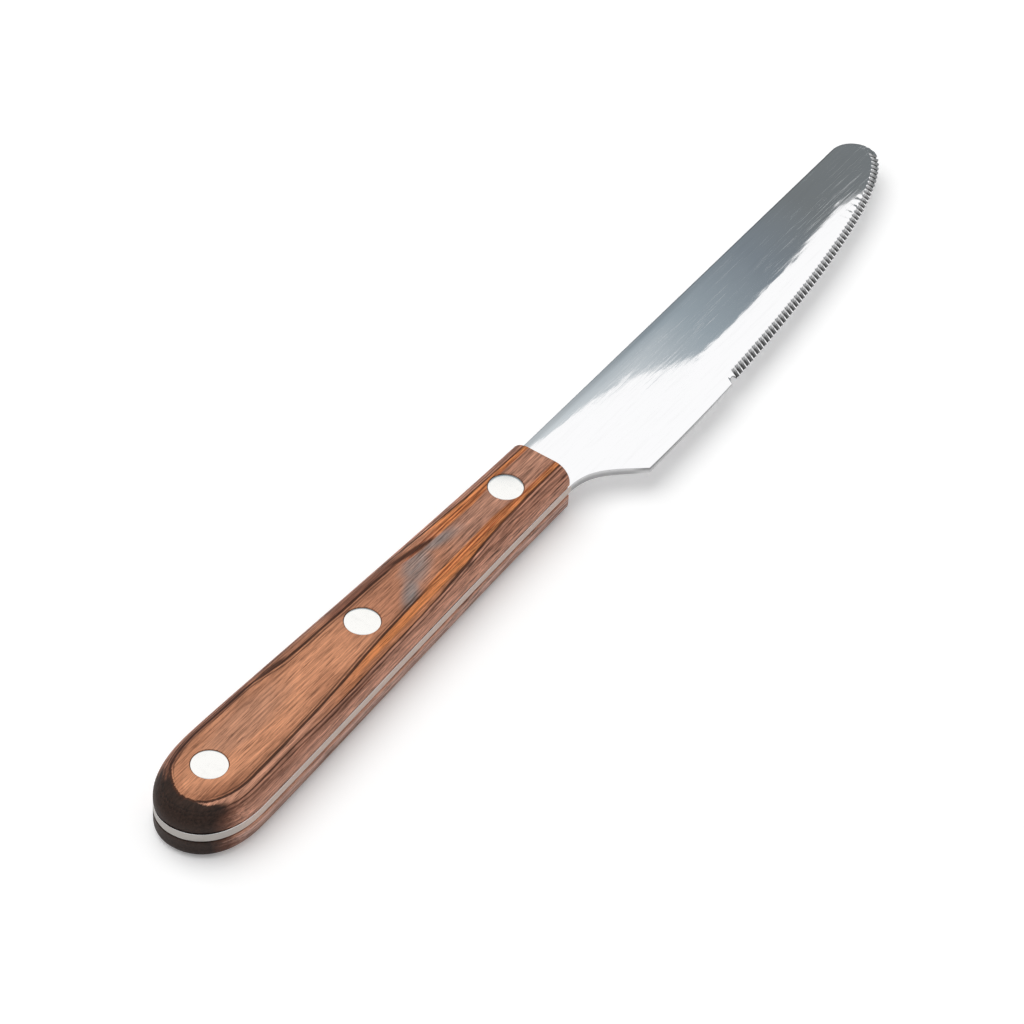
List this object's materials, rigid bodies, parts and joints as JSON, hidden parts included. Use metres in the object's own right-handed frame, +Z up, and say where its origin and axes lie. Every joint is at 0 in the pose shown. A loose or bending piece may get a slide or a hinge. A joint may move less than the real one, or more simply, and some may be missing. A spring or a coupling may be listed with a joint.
{
  "type": "table knife",
  "caption": "Table knife with a round-nosed, finely serrated steel blade whose full tang is riveted between two rounded wooden handle scales.",
  "frame": {"origin": "under the middle of the knife's bounding box, on the surface it lies on", "axes": "+X along the knife from butt to tip, +Y towards the spine, +Z up through the thickness"},
  "size_m": [0.2126, 0.0232, 0.01],
  "materials": {
    "blade_steel": "polished stainless steel with fine lengthwise scratches",
    "handle_wood": "laminated brown hardwood, oiled satin",
    "rivet_steel": "satin ground flush with the wood"
  },
  "bodies": {
    "root": {"blade": "blade_steel", "upper_scale": "handle_wood", "lower_scale": "handle_wood", "rivet_cap_butt": "rivet_steel", "rivet_cap_middle": "rivet_steel", "rivet_cap_front": "rivet_steel", "rivet_pin_butt": "rivet_steel", "rivet_pin_middle": "rivet_steel", "rivet_pin_front": "rivet_steel"}
  },
  "joints": []
}
